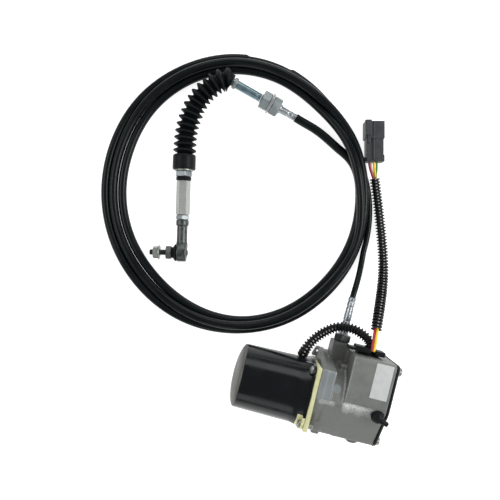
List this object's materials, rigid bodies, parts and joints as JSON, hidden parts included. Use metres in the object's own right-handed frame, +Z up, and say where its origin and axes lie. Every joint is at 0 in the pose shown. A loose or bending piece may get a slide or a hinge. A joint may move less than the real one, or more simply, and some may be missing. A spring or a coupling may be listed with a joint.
{
  "type": "engine governor actuator",
  "caption": "Electric governor actuator: a worm gear motor in a cast housing pulls a coiled push-pull cable that ends in a bellows, a rod end and a ball stud.",
  "frame": {"origin": "centre of the gear housing's flat bottom face, on the ground", "axes": "+X along the motor's shaft, from the motor to the end cover; +Z up, along the output shaft; +Y towards the side where the cable and the wires leave"},
  "size_m": [0.3213, 0.341, 0.072],
  "materials": {
    "cast_aluminium": "sand cast, satin grey",
    "gloss_black": "gloss black enamel",
    "yellow_zinc": "yellow zinc plated",
    "zinc": "bright zinc plated",
    "blue_zinc": "bluish zinc plated tube",
    "coupler_grey": "light matte zinc",
    "dark_zinc": "dark zinc",
    "steel": "plain steel",
    "rubber_black": "matte black rubber",
    "satin_black": "satin black sleeve",
    "connector_grey": "dark grey moulded",
    "black_plastic": "black moulded case",
    "nylon": "natural nylon",
    "brass": "bronze and brass",
    "copper": "enamelled copper",
    "ferrite": "ferrite",
    "carbon": "carbon brush",
    "wire_red": "coloured wire insulation"
  },
  "bodies": {
    "actuator": {"gear_housing": "cast_aluminium", "end_cover": "cast_aluminium", "cover_gasket": "rubber_black", "cover_screw_1": "zinc", "cover_screw_2": "zinc", "cover_screw_3": "zinc", "cover_screw_4": "zinc", "motor_can": "gloss_black", "adapter_plate": "yellow_zinc", "motor_screw_1": "zinc", "motor_screw_2": "zinc", "motor_screw_3": "zinc", "motor_screw_4": "zinc", "field_magnet_1": "ferrite", "field_magnet_2": "ferrite", "brush_plate": "nylon", "brush_1": "carbon", "brush_2": "carbon", "rear_bush": "brass", "front_bearing": "steel", "shaft_bush_lower": "brass", "shaft_bush_upper": "brass", "position_sensor": "black_plastic", "gland_nut": "zinc", "entry_ferrule": "zinc", "cable_lead_in": "satin_black", "cable_coil": "satin_black", "cable_lead_out": "satin_black", "hub_ferrule": "zinc", "hub_nut_1": "zinc", "hub_nut_2": "zinc", "lock_washer_1": "steel", "lock_washer_2": "steel", "support_tube": "blue_zinc", "tube_cap": "steel", "core_wire_end": "steel", "bellows": "rubber_black", "grommet": "rubber_black", "vent_elbow": "rubber_black", "motor_loom": "satin_black", "harness_loom": "satin_black", "harness_wires": "wire_red", "connector": "connector_grey"},
    "rotor": {"worm_shaft": "steel", "armature_core": "steel", "armature_winding": "copper", "commutator": "copper"},
    "drum": {"worm_wheel": "brass", "output_shaft": "steel", "cable_drum": "nylon"},
    "core": {"core_wire": "steel"},
    "rod": {"end_rod": "zinc", "jam_nut_upper": "zinc", "wiper_ring": "rubber_black", "hex_coupler": "coupler_grey", "jam_nut_lower": "zinc", "rod_end": "dark_zinc", "ball_boot": "rubber_black"},
    "stud": {"ball_stud": "dark_zinc", "flange_nut": "zinc"}
  },
  "joints": [
    {"name": "drum_turn", "type": "hinge", "parent": "actuator", "child": "drum", "pos_m": [0.0045, 0.013, 0.033], "axis": [0, 0, 1], "range_deg": [0, 79.5]},
    {"name": "motor_turn", "type": "hinge", "parent": "actuator", "child": "rotor", "pos_m": [0.0045, -0.008, 0.033], "axis": [1, 0, 0], "range_deg": [-2386, 0]},
    {"name": "core_slide", "type": "slide", "parent": "actuator", "child": "core", "axis": [0, -1, 0], "range_m": [0, 0.025]},
    {"name": "rod_slide", "type": "slide", "parent": "actuator", "child": "rod", "axis": [-0.2127, 0.9771, 0], "range_m": [0, 0.025], "deforming": ["bellows", "core_wire_end"]},
    {"name": "stud_swing", "type": "hinge", "parent": "rod", "child": "stud", "pos_m": [-0.18546, 0.08959, 0.0116], "axis": [0, 0, 1], "range_deg": [-18, 18], "deforming": ["ball_boot"]}
  ],
  "couplings": [
    {"joint": "motor_turn", "follows": "drum_turn", "ratio": -30},
    {"joint": "core_slide", "follows": "drum_turn", "m_per_rad": 0.018},
    {"joint": "rod_slide", "follows": "drum_turn", "m_per_rad": 0.018}
  ]
}
